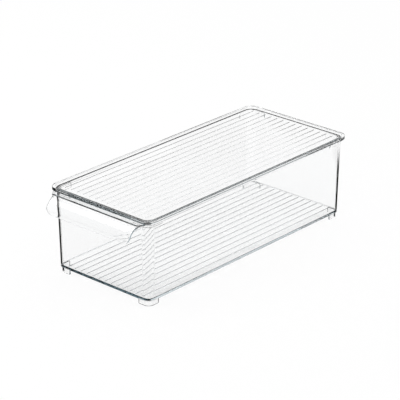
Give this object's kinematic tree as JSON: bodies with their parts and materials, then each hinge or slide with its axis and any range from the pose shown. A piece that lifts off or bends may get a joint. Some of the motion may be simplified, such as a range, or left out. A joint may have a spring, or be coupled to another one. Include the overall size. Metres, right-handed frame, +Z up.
{
  "type": "egg storage drawer",
  "caption": "Clear plastic fridge drawer: an open tub with a ribbed floor, corner feet and a curved front pull, under a loose ribbed lid with a raised border.",
  "frame": {"origin": "middle of the footprint, pull included, on the surface that the feet stand on", "axes": "+X to the right seen from the front, -Y towards the front with the pull, +Z up"},
  "size_m": [0.158, 0.373, 0.108],
  "materials": {
    "tub_plastic": "clear polished moulded plastic",
    "lid_plastic": "clear polished moulded plastic, ribbed"
  },
  "bodies": {
    "tub": {"tub": "tub_plastic"},
    "lid": {"lid": "lid_plastic"}
  },
  "joints": [
    {"name": "lid_lift", "type": "slide", "parent": "tub", "child": "lid", "axis": [0, 0, 1], "range_m": [0, 0.12]}
  ]
}
